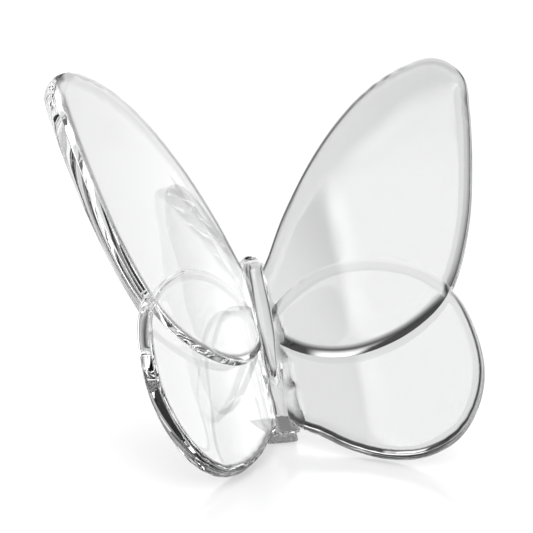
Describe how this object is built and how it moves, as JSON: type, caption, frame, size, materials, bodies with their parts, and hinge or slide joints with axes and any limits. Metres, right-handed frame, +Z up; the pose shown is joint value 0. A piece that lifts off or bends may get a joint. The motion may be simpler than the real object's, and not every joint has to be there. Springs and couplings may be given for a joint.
{
  "type": "butterfly ornament",
  "caption": "Clear glass butterfly with lapped fore and hind wings open in a V, a leaning body and a flat foot to stand on.",
  "frame": {"origin": "middle of the foot's flat underside, on the surface it stands on", "axes": "+Z up, -Y towards the open side of the wings, +X towards the right wings; X = 0 is the mirror plane"},
  "size_m": [0.0714, 0.0395, 0.0549],
  "materials": {
    "clear_glass": "clear, fire polished"
  },
  "bodies": {
    "root": {"foot": "clear_glass", "abdomen": "clear_glass", "thorax": "clear_glass", "head": "clear_glass", "left_forewing": "clear_glass", "right_forewing": "clear_glass", "left_hindwing": "clear_glass", "right_hindwing": "clear_glass"}
  },
  "joints": []
}
